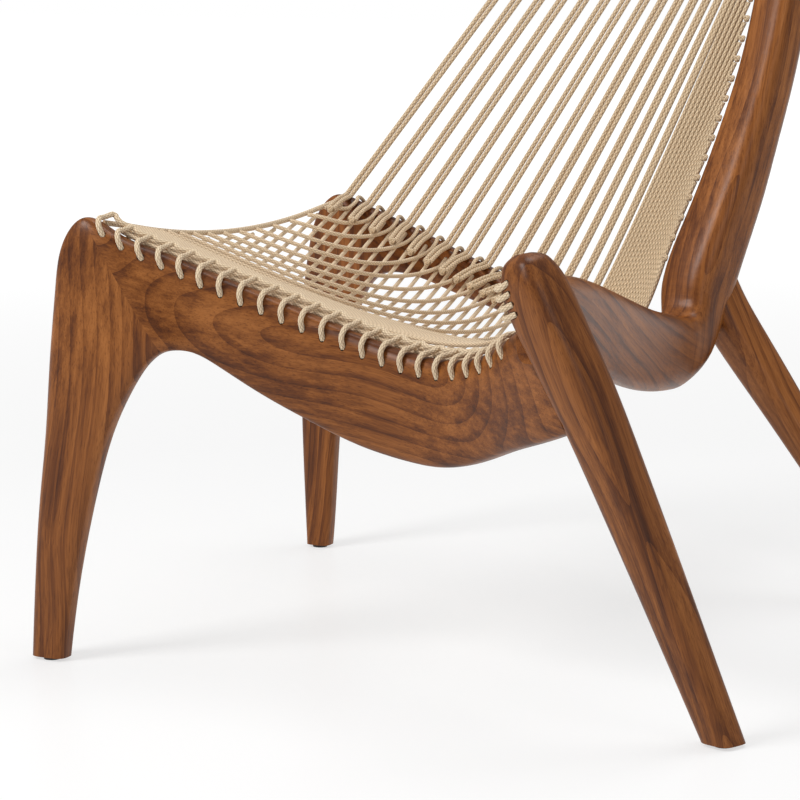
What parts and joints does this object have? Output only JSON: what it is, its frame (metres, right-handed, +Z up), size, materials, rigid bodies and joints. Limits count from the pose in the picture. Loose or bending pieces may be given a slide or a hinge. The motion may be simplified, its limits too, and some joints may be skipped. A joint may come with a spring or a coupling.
{
  "type": "accent chair",
  "caption": "Low sculpted walnut lounge chair with a corner back post; woven cord seat and a harp-like fan of back strings from post to rail",
  "frame": {"origin": "on the floor, under the middle of the bounding box", "axes": "+Z up, the chair's front looks toward -Y, its back post stands on the +X side"},
  "size_m": [0.7088, 0.9074, 1.0636],
  "materials": {
    "walnut": "oiled, satin",
    "dowel_wood": "plain beech, hidden in the joints",
    "seat_cord": "natural braided cord, matte",
    "back_string": "natural braided cord, matte",
    "glide": "dark brown"
  },
  "bodies": {
    "root": {"front_left_leg": "walnut", "front_rail": "walnut", "front_right_leg": "walnut", "side_board_and_back_post": "walnut", "back_left_leg": "walnut", "back_rail": "walnut", "back_right_leg": "walnut", "front_left_mitre_dowels": "dowel_wood", "back_left_mitre_dowels": "dowel_wood", "front_rail_end_dowels": "dowel_wood", "side_board_end_dowels": "dowel_wood", "back_rail_end_dowels": "dowel_wood", "back_right_leg_top_dowels": "dowel_wood", "foot_glides": "glide", "back_post_knots": "back_string", "front_rail_loops": "seat_cord", "right_leg_loops": "seat_cord", "seat_front_band": "seat_cord", "seat_edge_cord": "seat_cord", "seat_level_cords": "seat_cord", "seat_curved_cords_front": "seat_cord", "seat_curved_cords_back": "seat_cord", "seat_diagonal_cords": "seat_cord", "back_strings_left": "back_string", "back_strings_middle": "back_string", "back_strings_right": "back_string"}
  },
  "joints": []
}
